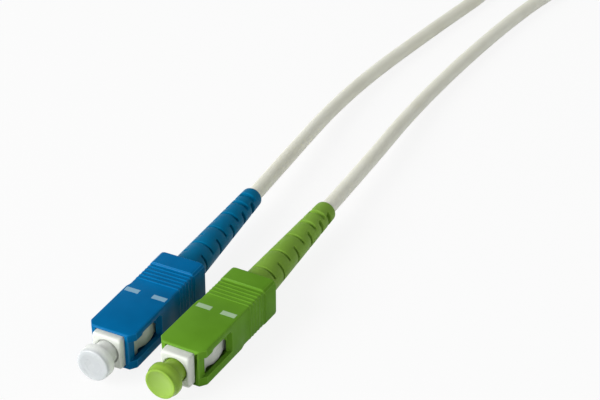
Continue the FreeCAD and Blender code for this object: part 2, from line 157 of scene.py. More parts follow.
@dataclass(frozen=True)
class MouldedPlastic:
    """Plastic from a mould or a die: slow colour flow, uneven polish and a fine grain.

    The grain of a spark-eroded mould is about 0.05 mm. It is drawn at 0.2 mm and more, because finer it
    would not show in the render. A paler colour of painted light, if there is one, shows by the mesh's
    painted light attribute.
    The roughness goes down to smoother and up to rougher than its own value.
    """

    name: str
    light: str
    dark: str
    roughness: float
    grain_mm: float = 0.22
    grain_depth_mm: float = 0.006
    grain_strength: float = 0.6
    milky: float = 0.0
    milky_reach_mm: float = 0.8
    specular: float = 0.5
    flow_mm: float = 6.0
    polish_mm: float = 1.6
    smoother: float = 0.05
    rougher: float = 0.06
    # Paler colour of painted light, mixed in by the mesh's painted light attribute.
    painted_light: str = ""

    def material(self) -> bpy.types.Material:
        """Builds the node material.

        Returns:
            The material.
        """
        material, tree = new_material(self.name)
        place = add_node(tree, "TexCoord").outputs["Object"]
        flow = add_node(tree, "TexNoise", {"Vector": place, "Scale": 1 / (self.flow_mm * MM), "Detail": 2.0})
        share = add_node(tree, "MapRange", {"Value": flow.outputs[0], **NOISE_RANGE})
        tint = add_node(tree, "Mix", {MIX_SHARE: share.outputs[0], MIX_FROM: srgb(self.dark),
                                      MIX_TO: srgb(self.light)}, data_type="RGBA")
        # Painted light: the colour turns to the paler one as far as the mesh's attribute says.
        if self.painted_light:
            wall = add_node(tree, "Attribute", attribute_name=PAINTED_LIGHT_ATTRIBUTE)
            tint = add_node(tree, "Mix", {MIX_SHARE: wall.outputs["Fac"], MIX_FROM: tint.outputs[MIX_RESULT],
                                          MIX_TO: srgb(self.painted_light)}, data_type="RGBA")
        polish = add_node(tree, "TexNoise", {"Vector": place, "Scale": 1 / (self.polish_mm * MM),
                                             "Detail": 4.0})
        rough = add_node(tree, "MapRange", {"Value": polish.outputs[0], **NOISE_RANGE,
                                            "To Min": self.roughness - self.smoother,
                                            "To Max": self.roughness + self.rougher})
        grain = add_node(tree, "TexNoise", {"Vector": place, "Scale": 1 / (self.grain_mm * MM),
                                            "Detail": 2.0})
        bump = add_node(tree, "Bump", {"Strength": self.grain_strength, "Height": grain.outputs[0],
                                       "Distance": self.grain_depth_mm * MM})
        shader = add_node(tree, "BsdfPrincipled", {
            "Base Color": tint.outputs[MIX_RESULT], "Roughness": rough.outputs[0], "Normal": bump.outputs[0],
            "Specular IOR Level": self.specular, "Subsurface Weight": self.milky,
            "Subsurface Radius": (1.0, 1.0, 1.0), "Subsurface Scale": self.milky_reach_mm * MM},
            subsurface_method="RANDOM_WALK")
        add_node(tree, "OutputMaterial", {"Surface": shader.outputs[0]})
        return material


@dataclass(frozen=True)
class PlatedMetal:
    """Turned or drawn metal with fine tool marks round the plug's axis.

    The marks are a noise that is drawn out across the plug and stays fine along it.
    """

    name: str
    light: str
    dark: str
    roughness: float
    cloud_mm: float = 1.2
    mark_mm: float = 0.05
    mark_depth_mm: float = 0.004
    mark_strength: float = 0.4
    mark_stretch: tuple[float, float, float] = (0.15, 1.0, 0.15)
    uneven: float = 0.06

    def material(self) -> bpy.types.Material:
        """Builds the node material.

        Returns:
            The material.
        """
        material, tree = new_material(self.name)
        place = add_node(tree, "TexCoord").outputs["Object"]
        cloud = add_node(tree, "TexNoise", {"Vector": place, "Scale": 1 / (self.cloud_mm * MM),
                                            "Detail": 3.0})
        share = add_node(tree, "MapRange", {"Value": cloud.outputs[0], **NOISE_RANGE})
        tint = add_node(tree, "Mix", {MIX_SHARE: share.outputs[0], MIX_FROM: srgb(self.dark),
                                      MIX_TO: srgb(self.light)}, data_type="RGBA")
        stretch = add_node(tree, "Mapping", {"Vector": place, "Scale": self.mark_stretch})
        marks = add_node(tree, "TexNoise", {"Vector": stretch.outputs[0], "Scale": 1 / (self.mark_mm * MM),
                                            "Detail": 2.0})
        rough = add_node(tree, "MapRange", {"Value": marks.outputs[0], **NOISE_RANGE,
                                            "To Min": self.roughness - self.uneven,
                                            "To Max": self.roughness + self.uneven})
        bump = add_node(tree, "Bump", {"Strength": self.mark_strength, "Height": marks.outputs[0],
                                       "Distance": self.mark_depth_mm * MM})
        shader = add_node(tree, "BsdfPrincipled", {
            "Base Color": tint.outputs[MIX_RESULT], "Metallic": 1.0, "Roughness": rough.outputs[0],
            "Normal": bump.outputs[0]})
        add_node(tree, "OutputMaterial", {"Surface": shader.outputs[0]})
        return material


@dataclass(frozen=True)
class LoopPile:
    """Woven strap whose outside is a mat of tiny loops.

    A loop is painted pale up to one share of the way from its middle, a painted highlight on its tip, and
    painted dark from another share on, painted shade between the loops.
    """

    name: str
    light: str
    dark: str
    roughness: float = 0.85
    loop_mm: float = 0.4
    loop_depth_mm: float = 0.12
    loop_strength: float = 0.8
    highlight_to: float = 0.2
    shade_from: float = 0.8
    sheen: float = 0.4
    sheen_roughness: float = 0.5

    def material(self) -> bpy.types.Material:
        """Builds the node material.

        Returns:
            The material.
        """
        material, tree = new_material(self.name)
        place = add_node(tree, "TexCoord").outputs["Object"]
        loops = add_node(tree, "TexVoronoi", {"Vector": place, "Scale": 1 / (self.loop_mm * MM)})
        # Painted highlight at the loops' middles and painted shade between them.
        share = add_node(tree, "MapRange", {"Value": loops.outputs["Distance"], "From Min": self.highlight_to,
                                            "From Max": self.shade_from})
        tint = add_node(tree, "Mix", {MIX_SHARE: share.outputs[0], MIX_FROM: srgb(self.light),
                                      MIX_TO: srgb(self.dark)}, data_type="RGBA")
        bump = add_node(tree, "Bump", {"Strength": self.loop_strength, "Height": loops.outputs["Distance"],
                                       "Distance": self.loop_depth_mm * MM}, invert=True)
        shader = add_node(tree, "BsdfPrincipled", {
            "Base Color": tint.outputs[MIX_RESULT], "Roughness": self.roughness, "Normal": bump.outputs[0],
            "Sheen Weight": self.sheen, "Sheen Roughness": self.sheen_roughness})
        add_node(tree, "OutputMaterial", {"Surface": shader.outputs[0]})
        return material


# Dyed PBT from a spark-eroded mould: deep even colour, satin, with hardly any white haze on the flats.
GRIP_FINISH = {
    Side.BLUE: MouldedPlastic("blue_moulded_pbt_grip", "#0068a0", "#006094", 0.40, specular=0.03),
    Side.GREEN: MouldedPlastic("green_moulded_pbt_grip", "#629428", "#5a8a22", 0.40, specular=0.03),
}
# The mould is polished where its walls meet, so the rounded edges shine a little more. Their colour is also
# painted paler than the flats, a painted highlight that shows them as fine pale lines.
EDGE_FINISH_AND_HIGHLIGHT = {
    Side.BLUE: MouldedPlastic("blue_polished_pbt_edge_painted_highlight", "#0674ae", "#046ea6", 0.30, specular=0.12),
    Side.GREEN: MouldedPlastic("green_polished_pbt_edge_painted_highlight", "#6b9c2e", "#639228", 0.30, specular=0.10),
}
# Soft elastomer: duller and a little milkier than the grip, so its ribs shade gently.
BOOT_FINISH = {
    Side.BLUE: MouldedPlastic("blue_moulded_elastomer_boot", "#006b96", "#00638b", 0.42, grain_mm=0.3,
                              grain_depth_mm=0.008, milky=0.10, milky_reach_mm=0.4, specular=0.05),
    Side.GREEN: MouldedPlastic("green_moulded_elastomer_boot", "#7da43f", "#759a38", 0.42, grain_mm=0.3,
                               grain_depth_mm=0.008, milky=0.10, milky_reach_mm=0.4, specular=0.05),
}
# Soft polyethylene: light goes in and comes out again. Over that a paler colour is painted: on the frosted
# one from its head back to its stem, painted light that lifts the stem out of the head's shade, and on the
# dyed one in the middle of its dished face, a painted highlight.
CAP_FINISH_AND_PAINTED_LIGHT = {
    Side.BLUE: MouldedPlastic("frosted_moulded_polyethylene_cap_painted_light", "#bdc1c2", "#b6babc", 0.30, grain_mm=0.4,
                              grain_depth_mm=0.002, milky=0.9, milky_reach_mm=2.4, specular=0.4,
                              painted_light="#e2e5e0"),
    Side.GREEN: MouldedPlastic("lime_moulded_polyethylene_cap_painted_highlight", "#8bae40", "#82a538", 0.20, grain_mm=0.4,
                               grain_depth_mm=0.002, milky=0.40, milky_reach_mm=1.0, specular=0.12,
                               painted_light="#93b05c"),
}
# Pad-printed ink: a flat pale film with no gloss of its own.
MARK_FINISH = {
    Side.BLUE: MouldedPlastic("grey_printed_ink_on_blue", "#83acc4", "#7ba4bc", 0.60, grain_mm=0.2,
                              grain_depth_mm=0.003, specular=0.2),
    Side.GREEN: MouldedPlastic("grey_printed_ink_on_green", "#a2be98", "#9ab690", 0.60, grain_mm=0.2,
                               grain_depth_mm=0.003, specular=0.2),
}
# White PBT: satin, a little light gets under its skin, so its inner edges stay soft.
FRAME_FINISH = MouldedPlastic("white_moulded_pbt_frame", "#d9dcd5", "#d1d4cc", 0.30, grain_mm=0.2,
                              grain_depth_mm=0.003, milky=0.6, milky_reach_mm=0.8, specular=0.25)
# Extruded halogen-free jacket: warm white and milky, which evens out its shading, with a faint die ripple.
JACKET_FINISH = MouldedPlastic("white_extruded_polyolefin_jacket", "#e6e6d9", "#dfdecf", 0.42, grain_mm=0.3,
                               grain_depth_mm=0.004, milky=0.4, milky_reach_mm=1.5, specular=0.2,
                               flow_mm=9.0)
# Ground and polished zirconia: milky white with a hard clear shine.
FERRULE_FINISH = MouldedPlastic("polished_zirconia_ferrule", "#d6d5d0", "#cdcbc5", 0.12, grain_mm=0.3,
                                grain_depth_mm=0.001, milky=0.4, milky_reach_mm=0.5)
# Acrylate coat on the fibre: smooth, cream white.
BUFFER_FINISH = MouldedPlastic("coated_acrylate_fibre", "#d0cfc6", "#c7c5ba", 0.35, grain_mm=0.2,
                               grain_depth_mm=0.003)
# Bright nickel over turned brass: warm silver with rings from the lathe.
NICKEL_FINISH = PlatedMetal("turned_nickel_plated_brass", "#d9d4c6", "#bdb7a8", 0.26)
# Drawn steel wire: cool silver, streaked along the wire.
STEEL_FINISH = PlatedMetal("drawn_spring_steel", "#c3c5c8", "#9ea1a6", 0.22)
# Soft aluminium, squeezed by the crimp tool: dull silver.
CRIMP_FINISH = PlatedMetal("crimped_aluminium_sleeve", "#cfccc2", "#aaa79d", 0.34)
# Nylon loop strap: near black and fuzzy, with pale tips where light catches the loops.
STRAP_FINISH_AND_HIGHLIGHT = LoopPile("woven_nylon_loop_strap_painted_highlight", "#3a3a3c", "#141416")


@dataclass(frozen=True)
class Pose:
    """Where a plug lies, in millimetres and degrees.

    The front is the middle of the frame's front face, the heading is that of the plug's axis, and the
    cable aim is the first point of the cable's route past the boot.
    """

    front: tuple[float, float, float]
    heading: float
    cable_aim: tuple[float, float]

    def place(self, points: np.ndarray) -> np.ndarray:
        """Moves points from the plug's own frame to the row frame: turned by the heading, then shifted.

        Args:
            points: Array of (x along the axis, y left, z up) in millimetres.

        Returns:
            The points in metres.
        """
        turn = math.radians(self.heading)
        x, y, z = np.moveaxis(np.asarray(points, float), -1, 0)
        moved = np.stack([self.front[0] + x * math.cos(turn) - y * math.sin(turn),
                          self.front[1] + x * math.sin(turn) + y * math.cos(turn),
                          self.front[2] + z], axis=-1)
        return moved * MM

    def bend(self, pivot: float) -> float:
        """Angle from the plug's axis to the line from a pivot on it to the cable aim.

        Args:
            pivot: Distance of the pivot behind the front, in millimetres.

        Returns:
            The angle in radians.
        """
        turn = math.radians(self.heading)
        across = self.cable_aim[0] - self.front[0] - pivot * math.cos(turn)
        along = self.cable_aim[1] - self.front[1] - pivot * math.sin(turn)
        return math.atan2(along, across) - turn


POSES = {
    Side.BLUE: Pose((-6.55, -26.15, 4.4), 90.8, (-9.6, 41.5)),
    Side.GREEN: Pose((6.55, -25.05, 4.4), 89.2, (5.8, 43.0)),
}


def add_object(name: str, data: bpy.types.ID) -> bpy.types.Object:
    """Makes an object and links it to the scene.

    Args:
        name: Name of the object.
        data: Its mesh, curve, light or camera.

    Returns:
        The object.
    """
    thing = bpy.data.objects.new(name, data)
    bpy.context.scene.collection.objects.link(thing)
    return thing


def finish_mesh(name: str, mesh: bpy.types.Mesh, material: bpy.types.Material,
                sharp_deg: float) -> bpy.types.Object:
    """Merges a mesh's doubles, points its faces outwards, smooths it and makes it an object.

    Args:
        name: Name of the object.
        mesh: Mesh with its faces set.
        material: Material for all faces.
        sharp_deg: Edges that turn by more than this stay sharp.

    Returns:
        The object, linked to the scene.
    """
    shape = bmesh.new()
    shape.from_mesh(mesh)
    bmesh.ops.remove_doubles(shape, verts=shape.verts, dist=GRID_MERGE)
    bmesh.ops.recalc_face_normals(shape, faces=shape.faces)
    shape.to_mesh(mesh)
    shape.free()
    mesh.shade_smooth()
    mesh.set_sharp_from_angle(angle=math.radians(sharp_deg))
    mesh.materials.clear()
    mesh.materials.append(material)
    return add_object(name, mesh)


def grid_object(name: str, grid: np.ndarray, material: bpy.types.Material, close_rows: bool,
                sharp_deg: float = GRID_SHARP_DEG) -> bpy.types.Object:
    """Makes a mesh object from a grid of points whose columns run round and close.

    Args:
        name: Name of the object.
        grid: Points in metres, indexed by row and column. A row that meets in one point closes an end.
        material: Material for all faces.
        close_rows: Joins the last row to the first.
        sharp_deg: Edges that turn by more than this stay sharp.

    Returns:
        The object, linked to the scene.
    """
    rows, columns = grid.shape[:2]
    index = np.arange(rows * columns).reshape(rows, columns)
    if close_rows:
        index = np.vstack([index, index[:1]])
    index = np.hstack([index, index[:, :1]])
    corners = [index[:-1, :-1], index[:-1, 1:], index[1:, 1:], index[1:, :-1]]
    faces = np.stack(corners, axis=-1).reshape(-1, len(corners))
    mesh = bpy.data.meshes.new(name)
    mesh.from_pydata(grid.reshape(-1, 3).tolist(), [], faces.tolist())
    return finish_mesh(name, mesh, material, sharp_deg)


def round_corners(points: list[tuple[float, float, float]], steps: int = 5) -> np.ndarray:
    """Rounds the corners of a lathe profile.

    Each corner becomes a quadratic curve from a point before it to a point after it, both at the
    rounding's distance, with the corner as its control point.

    Args:
        points: (x, radius, corner rounding) of each corner in millimetres.
        steps: Points on each rounded corner.

    Returns:
        Array of (x, radius).
    """
    table = np.array(points, float)
    corners, rounding = table[:, :2], table[:, 2:]
    before = np.roll(corners, 1, axis=0) - corners
    after = np.roll(corners, -1, axis=0) - corners
    first = corners + rounding * before / np.linalg.norm(before, axis=1, keepdims=True)
    last = corners + rounding * after / np.linalg.norm(after, axis=1, keepdims=True)
    share = np.linspace(0, 1, steps)[None, :, None]
    curve = ((1 - share) ** 2 * first[:, None] + 2 * share * (1 - share) * corners[:, None]
             + share ** 2 * last[:, None])
    return curve.reshape(-1, 2)


def merged_copy(node: str) -> bpy.types.Mesh:
    """Copies a CAD node's mesh and joins the faces that meet.

    Args:
        node: Name of the CAD node.

    Returns:
        The copy.
    """
    mesh = bpy.data.objects[node].data.copy()
    shape = bmesh.new()
    shape.from_mesh(mesh)
    bmesh.ops.remove_doubles(shape, verts=shape.verts, dist=CAD_MERGE)
    shape.to_mesh(mesh)
    shape.free()
    return mesh


def softened_copy(node: str, material: bpy.types.Material, edge_material: bpy.types.Material,
                  width_mm: float) -> bpy.types.Object:
    """Copies a rigid CAD node and rounds its edges as a mould would.

    Each sharp edge is rounded by a fifth of the narrower face beside it, and by the width at most.

    Args:
        node: Name of the CAD node.
        material: Material of the faces.
        edge_material: Material of the rounded edges.
        width_mm: Largest rounding.

    Returns:
        The new piece.
    """
    mesh = merged_copy(node)
    shape = bmesh.new()
    shape.from_mesh(mesh)
    bmesh.ops.dissolve_limit(shape, angle_limit=math.radians(FLAT_DEG), verts=shape.verts, edges=shape.edges)
    weight = shape.edges.layers.float.new("bevel_weight_edge")
    for edge in shape.edges:
        if edge.is_manifold and edge.calc_face_angle(0.0) > math.radians(EDGE_DEG):
            room = min(face.calc_area() / edge.calc_length() for face in edge.link_faces)
            edge[weight] = min(1.0, EDGE_SHARE * room / (width_mm * MM))
    shape.to_mesh(mesh)
    shape.free()
    piece = finish_mesh(node + "_soft", mesh, material, MOULDED_SHARP_DEG)
    piece.data.materials.append(edge_material)
    bevel = piece.modifiers.new("rounded_edges", "BEVEL")
    bevel.limit_method = "WEIGHT"
    bevel.width = width_mm * MM
    bevel.segments = EDGE_FACES
    bevel.use_clamp_overlap = False
    bevel.harden_normals = True
    # The rounded edges take the second material; on the grips its paler colour is a painted highlight.
    bevel.material = 1
    return piece


@dataclass
class GripHousing:
    """Coloured outer shell of one plug, with its two printed marks."""

    side: Side
    edge: float = 0.10
    slid_back: float = 0.0
    mark_start: float = 12.9
    mark_long: float = 1.15
    mark_inner: float = 1.4
    mark_outer: float = 4.2
    mark_top: float = 3.7
    mark_thick: float = 0.02
    mark_sunk: float = 0.5

    def build(self) -> list[bpy.types.Object]:
        """Makes the shell and its marks.

        Returns:
            The shell and the two marks.
        """
        name = self.side.value + "_grip_housing"
        # The rounded edges get the paler edge colour: a painted highlight.
        flats, edges = GRIP_FINISH[self.side].material(), EDGE_FINISH_AND_HIGHLIGHT[self.side].material()
        shell = softened_copy(name, flats, edges, self.edge)
        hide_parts(name)
        ink = MARK_FINISH[self.side].material()
        pieces = [shell, self.mark("left", 1, ink), self.mark("right", -1, ink)]
        for piece in pieces:
            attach(piece, self.side.value + "_grip")
        return pieces

    def mark(self, label: str, sign: int, ink: bpy.types.Material) -> bpy.types.Object:
        """Prints one mark on the shell's top.

        A rectangle's outline is carried up from under the surface through the film's thickness, and it
        meets in one point below and above.

        Args:
            label: Which of the two marks.
            sign: Side of the middle line, 1 for left and -1 for right.
            ink: Material of the print.

        Returns:
            The mark.
        """
        start = self.mark_start + self.slid_back
        x = start + self.mark_long * np.array([0.0, 1.0, 1.0, 0.0])
        y = sign * np.array([self.mark_inner, self.mark_inner, self.mark_outer, self.mark_outer])
        spread = np.array([0.0, 1.0, 1.0, 0.0])[:, None]
        rise = np.array([-self.mark_sunk, -self.mark_sunk, 1.0, 1.0])[:, None]
        grid = np.stack([x.mean() + spread * (x - x.mean()), y.mean() + spread * (y - y.mean()),
                         self.mark_top + self.mark_thick * rise + 0 * x], axis=-1)
        return grid_object(f"{self.side.value}_grip_mark_{label}", POSES[self.side].place(grid), ink, False)


@dataclass
class PlugCore:
    """Frame, ferrule and the pieces inside one plug."""

    side: Side
    edge: float = 0.10
    spring_front: float = 9.4
    spring_rear: float = 15.0
    spring_sharp_deg: float = 75.0
    ferrule_travel: float = 1.2

    def build(self) -> list[bpy.types.Object]:
        """Makes the frame with its rounded edges, and the spring.

        Returns:
            The frame and the spring.
        """
        name = self.side.value + "_plug_frame"
        white = FRAME_FINISH.material()
        frame = softened_copy(name, white, white, self.edge)
        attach(frame, CORD_BODY)
        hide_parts(name)
        return [frame, self.spring()]

    def spring(self) -> bpy.types.Object:
        """Makes the spring.

        Returns:
            The spring.
        """
        name = self.side.value + "_spring"
        steel = STEEL_FINISH.material()
        spring = finish_mesh(name + "_live", merged_copy(name), steel, self.spring_sharp_deg)
        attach(spring, CORD_BODY)
        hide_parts(name)
        front, rear = POSES[self.side].place([(self.spring_front, 0.0, 0.0), (self.spring_rear, 0.0, 0.0)])
        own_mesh(spring)
        return spring

    def dress(self) -> None:
        """Gives the inner pieces their finishes."""
        finishes = {
            "ferrule": FERRULE_FINISH,
            "ferrule_flange": NICKEL_FINISH,
            "fibre_buffer": BUFFER_FINISH,
            "back_body": NICKEL_FINISH,
            "crimp_sleeve": CRIMP_FINISH,
        }
        for piece, finish in finishes.items():
            mesh = bpy.data.objects[f"{self.side.value}_{piece}"].data
            mesh.materials.clear()
            mesh.materials.append(finish.material())


@dataclass
class Boot:
    """Slotted strain relief of one plug: a straight root, then a taper that turns with the cable.

    Lengths and radii are in millimetres. The lip steps are the places of a lip's rings before its slot,
    as shares of the lip's rounding.
    """

    side: Side
    grow: float = 1.0
    roll_deg: float = 0.0
    start: float = 18.55
    pivot: float = 24.55
    root: float = 2.75
    socket: float = 2.25
    socket_end: float = 3.4
    socket_cone: float = 0.4
    bore: float = 1.49
    bore_end: float = 1.3
    shoulder: float = 1.1
    shoulder_round: float = 0.1
    shoulder_inset: float = 0.03
    straight: float = 4.0
    base_long: float = 31.2
    base_wide: float = 3.025
    base_tip: float = 2.075
    tip_long: float = 1.2
    tip_flare: float = 0.03
    tip_round: float = 0.5
    mouth_round: float = 0.12
    slot_count: int = 10
    slot_first: float = 5.85
    slot_end: float = 2.85
    slot_closing: float = 0.55
    slot_narrow: float = 0.5
    slot_broad: float = 1.1
    slot_floor: float = 1.35
    lip_least: float = 0.10
    lip_growth: float = 0.12
    lip_steps: tuple[float, ...] = (1.0, 0.55, 0.25, 0.08, 0.0)
    columns: int = 144
    sharp_deg: float = 50.0

    @property
    def long(self) -> float:
        """Length past the pivot."""
        return self.base_long * self.grow

    @property
    def wide(self) -> float:
        """Radius of the straight part."""
        return self.base_wide * self.grow

    @property
    def tip(self) -> float:
        """Radius at the tip."""
        return self.base_tip * self.grow

    def slots(self) -> tuple[np.ndarray, np.ndarray, np.ndarray]:
        """Lays out the slots, closer and wider towards the tip.

        The steps between slots shrink with the square of their number and are scaled to fill the taper;
        a slot's width and the rounding of its lips grow with the square of its number.

        Returns:
            Place past the pivot, half width and lip rounding of each slot, in millimetres.
        """
        step = 1 - self.slot_closing * (np.arange(self.slot_count - 1) / (self.slot_count - 2)) ** 2
        room = self.long - self.slot_end - self.slot_first
        place = self.slot_first + room * np.concatenate([[0.0], np.cumsum(step)]) / step.sum()
        share = np.linspace(0, 1, self.slot_count) ** 2
        half = (self.slot_narrow + share * (self.slot_broad - self.slot_narrow)) / 2
        return place, half, self.lip_least + self.lip_growth * share

    def slotted_rows(self, angle: np.ndarray) -> np.ndarray:
        """Works out the rings over the slots.

        A ring's radius is the taper's, less a quarter-round lip near a slot's wall, and in the slot it is
        the slot's flat floor: its height divided by the cosine of the angle from the slot's middle, or the
        taper's radius where that is smaller.

        Args:
            angle: Angles of the columns from straight up, in radians.

        Returns:
            Array of (x past the pivot, radius), indexed by ring and column.
        """
        place, half, lip = (values[:, None] for values in self.slots())
        gap = np.array([*self.lip_steps, 0.0])
        inside = np.zeros(len(gap))
        inside[-1] = 1.0
        sign = np.repeat([-1.0, 1.0], len(gap))
        gap = np.concatenate([gap, gap[::-1]])
        inside = np.concatenate([inside, inside[::-1]])
        x = place + sign * (half + lip * gap)
        drop = lip * (1 - np.sqrt(1 - (1 - gap) ** 2)) + inside * self.wide
        skin = np.interp(x, [self.straight, self.long], [self.wide, self.tip])
        turn = math.radians(self.roll_deg) + math.pi / 2 * (np.arange(self.slot_count) % 2)[:, None]
        floor = self.slot_floor / np.maximum(np.abs(np.cos(angle - turn)), TINY)
        floor = np.minimum(floor[:, None, :], skin[:, :, None])
        radius = np.maximum((skin - drop)[:, :, None], floor)
        return np.stack([x[:, :, None] + 0 * radius, radius], axis=-1).reshape(-1, self.columns, 2)

    def place_rings(self, rings: np.ndarray, angle: np.ndarray, bend: float) -> np.ndarray:
        """Turns (x, radius) rings about the axis, and the axis about the pivot.

        Args:
            rings: Array of (x past the pivot, radius), indexed by ring and column.
            angle: Angles of the columns from straight up, in radians.
            bend: Turn of the axis in radians.

        Returns:
            The points in metres.
        """
        x, radius = rings[..., 0], rings[..., 1]
        y, z = -radius * np.sin(angle), radius * np.cos(angle)
        points = np.stack([self.pivot + x * math.cos(bend) - y * math.sin(bend),
                           x * math.sin(bend) + y * math.cos(bend), z], axis=-1)
        return POSES[self.side].place(points)

    def build(self) -> bpy.types.Object:
        """Makes the boot as one closed grid: outside from root to tip, then back through the bore.

        Returns:
            The boot.
        """
        angle = np.linspace(0, 2 * math.pi, self.columns, endpoint=False)
        even = np.ones((1, self.columns, 1))
        front = self.start - self.pivot
        root = np.array([(front, self.socket), (front, self.root), (self.shoulder, self.root)])
        shoulder = np.array([
            (self.shoulder, self.wide - self.shoulder_round),
            (self.shoulder + self.shoulder_inset, self.wide - self.shoulder_inset),
            (self.shoulder + self.shoulder_round, self.wide), (self.straight, self.wide)])
        tip = round_corners([
            (self.long - self.tip_long, self.tip + self.tip_flare, 0), (self.long, self.tip, self.tip_round),
            (self.long, self.bore, self.mouth_round), (self.long - self.tip_long, self.bore, 0)])
        inner = np.array([(self.socket_end, self.bore_end)])
        back = np.array([(self.socket_end - self.socket_cone, self.socket)])
        bend = POSES[self.side].bend(self.pivot)
        turned = np.concatenate([shoulder[:, None] * even, self.slotted_rows(angle), tip[:, None] * even,
                                 inner[:, None] * even])
        grid = np.concatenate([self.place_rings(root[:, None] * even, angle, 0.0),
                               self.place_rings(turned, angle, bend),
                               self.place_rings(back[:, None] * even, angle, 0.0)])
        name = self.side.value + "_boot"
        boot = grid_object(name + "_soft", grid, BOOT_FINISH[self.side].material(), True, self.sharp_deg)
        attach(boot, CORD_BODY)
        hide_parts(name)
        return boot


@dataclass
class DustCap:
    """Flanged round cap with a hollow stem on one ferrule.

    Lengths and radii are in millimetres. The ridge places are shares of the dish's radius.
    """

    side: Side
    back: float = -2.5
    head_long: float = 2.15
    flange_long: float = 1.0
    face: float = 2.95
    head: float = 3.25
    stem: float = 2.2
    stem_long: float = 7.0
    hole: float = 1.26
    hole_end: float = -1.7
    face_round: float = 0.15
    step_long: float = 0.7
    step_round: float = 0.25
    head_round: float = 0.15
    stem_root_round: float = 0.1
    stem_end_round: float = 0.2
    hole_round: float = 0.1
    dish_margin: float = 0.2
    dish_deep: float = 0.3
    dish_points: int = 40
    ridge_tall: float = 0.0
    ridge_wide: float = 0.16
    ridge_places: tuple[float, ...] = (0.17, 0.57, 0.88)
    # Painted light: the length over which the stem's painted paleness grows, and whether the face gets a
    # painted highlight in its middle.
    painted_light_long: float = 1.3
    painted_face_highlight: bool = False
    columns: int = 96

    def profile(self) -> np.ndarray:
        """Outline from the middle of the face over the flange and stem into the hole.

        The face is a shallow dish, as deep as one less the square of the share of its radius. The ridges
        on it are bell curves of the distance from their rings, and a height of zero leaves them out.

        Returns:
            Array of (x, radius) in millimetres, with a radius of zero at both ends.
        """
        front = self.back - self.head_long
        flange = self.back - self.flange_long
        end = self.back + self.stem_long
        rim = self.face - self.face_round - self.dish_margin
        radius = np.linspace(0.0, rim, self.dish_points)
        rings = rim * np.array(self.ridge_places)
        ridge = np.exp(-((radius[:, None] - rings) / self.ridge_wide) ** 2).sum(axis=1)
        sunk = self.dish_deep * (1 - (radius / rim) ** 2)
        dish = np.stack([front + sunk - self.ridge_tall * ridge, radius], axis=-1)
        body = round_corners([
            (front, rim, 0), (front, self.face, self.face_round),
            (flange - self.step_long, self.face, self.step_round), (flange, self.head, self.step_round),
            (self.back, self.head, self.head_round), (self.back, self.stem, self.stem_root_round),
            (end, self.stem, self.stem_end_round), (end, self.hole, self.hole_round),
            (self.hole_end, self.hole, 0), (self.hole_end, 0.0, 0)])
        return np.concatenate([dish, body])

    def build(self) -> bpy.types.Object:
        """Turns the cap's profile round the plug's axis.

        Returns:
            The cap.
        """
        angle = np.linspace(0, 2 * math.pi, self.columns, endpoint=False)
        x, radius = np.hsplit(self.profile(), 2)
        grid = np.stack([x + 0 * angle, radius * np.sin(angle), radius * np.cos(angle)], axis=-1)
        name = self.side.value + "_dust_cap"
        plastic = CAP_FINISH_AND_PAINTED_LIGHT[self.side].material()
        cap = grid_object(name + "_soft", POSES[self.side].place(grid), plastic, False)
        # Writes where the cap's colour is painted paler: painted light on the stem and a painted highlight
        # on the face.
        self.mark_painted_light(cap.data)
        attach(cap, self.side.value + "_cap")
        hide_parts(name)
        return cap

    def mark_painted_light(self, mesh: bpy.types.Mesh) -> None:
        """Writes how much paler colour is painted at each point: painted light.

        It grows with the way behind the face over the painted length, eased: painted light on the stem,
        where the head's shade falls. On a cap with a painted face highlight it is one less the square of the
        share of the face's radius, times what is left of the head's length: a painted highlight in the
        middle of the face.

        Args:
            mesh: The cap's mesh.
        """
        points = np.empty(3 * len(mesh.vertices))
        mesh.vertices.foreach_get("co", points)
        front, back = POSES[self.side].place([(self.back - self.head_long, 0.0, 0.0), (self.back, 0.0, 0.0)])
        axis = (back - front) / np.linalg.norm(back - front)
        away = (points.reshape(-1, 3) - front) / MM
        along = away @ axis
        if self.painted_face_highlight:
            across = np.linalg.norm(away - along[:, None] * axis, axis=1)
            middle = np.clip(1 - (across / self.face) ** 2, 0.0, 1.0)
            painted_light = middle * np.clip(1 - along / self.head_long, 0.0, 1.0)
        else:
            painted_light = ease(np.clip(along / self.painted_light_long, 0.0, 1.0))
        wall = mesh.attributes.new(PAINTED_LIGHT_ATTRIBUTE, "FLOAT", "POINT")
        wall.data.foreach_set("value", painted_light)


